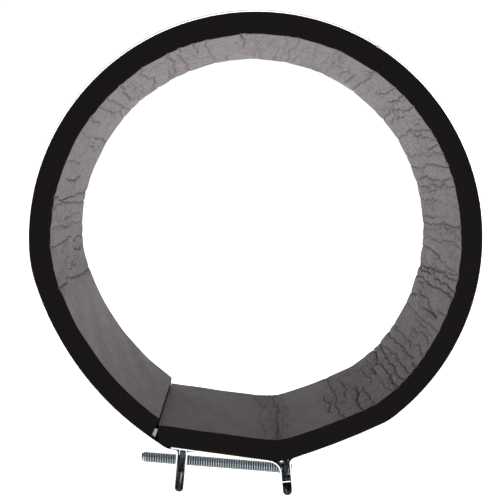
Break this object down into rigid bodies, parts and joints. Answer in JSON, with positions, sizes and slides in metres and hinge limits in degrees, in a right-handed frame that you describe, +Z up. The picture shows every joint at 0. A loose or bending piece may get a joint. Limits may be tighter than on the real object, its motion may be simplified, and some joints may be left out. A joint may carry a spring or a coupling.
{
  "type": "pipe repair clamp",
  "caption": "Lined repair clamp for a pipe: a thin steel band with a soft black liner, split at the bottom and closed by screws through two folded lugs.",
  "frame": {"origin": "on the axis of the pipe seat, at the middle of the band's width", "axes": "+Y along the pipe, +Z up with both lugs at the bottom, +X towards the lug that holds the screw heads"},
  "size_m": [0.2264, 0.0762, 0.2423],
  "materials": {
    "zinc_strip": "bright zinc plated, thin rolled strip",
    "liner_rubber": "matte, finely cracked skin inside, cut edges black",
    "glue_film": "thin amber contact glue",
    "zinc_screw": "blue zinc plated thread",
    "zinc_nut": "blue zinc plated hexagon"
  },
  "bodies": {
    "main": {"band_main": "zinc_strip", "liner_main": "liner_rubber", "glue_main": "glue_film", "glue_flap": "glue_film"},
    "tail": {"band_tail": "zinc_strip", "liner_tail": "liner_rubber", "glue_tail": "glue_film"},
    "front_screw": {"screw_front": "zinc_screw"},
    "rear_screw": {"screw_rear": "zinc_screw"},
    "front_nut": {"nut_front": "zinc_nut"},
    "rear_nut": {"nut_rear": "zinc_nut"}
  },
  "joints": [
    {"name": "front_screw_turn", "type": "hinge", "parent": "main", "child": "front_screw", "pos_m": [0.02039, -0.0254, -0.11924], "axis": [0.9988, 0, -0.0489], "range_deg": [0, 5040]},
    {"name": "rear_screw_turn", "type": "hinge", "parent": "main", "child": "rear_screw", "pos_m": [0.02039, 0.0254, -0.11924], "axis": [0.9988, 0, -0.0489], "range_deg": [0, 5040]},
    {"name": "front_nut_travel", "type": "slide", "parent": "main", "child": "front_nut", "axis": [-0.9988, 0, 0.0489], "range_m": [0, 0.0178]},
    {"name": "rear_nut_travel", "type": "slide", "parent": "main", "child": "rear_nut", "axis": [-0.9988, 0, 0.0489], "range_m": [0, 0.0178]},
    {"name": "band_flex", "type": "hinge", "parent": "main", "child": "tail", "pos_m": [-0.01673, 0, 0.11196], "axis": [0, 1, 0], "range_deg": [0, 4.45]}
  ],
  "couplings": [
    {"joint": "rear_screw_turn", "follows": "front_screw_turn", "ratio": 1},
    {"joint": "front_nut_travel", "follows": "front_screw_turn", "m_per_rad": 0.00020213},
    {"joint": "rear_nut_travel", "follows": "front_screw_turn", "m_per_rad": 0.00020213},
    {"joint": "band_flex", "follows": "front_screw_turn", "ratio": 0.00088224}
  ]
}
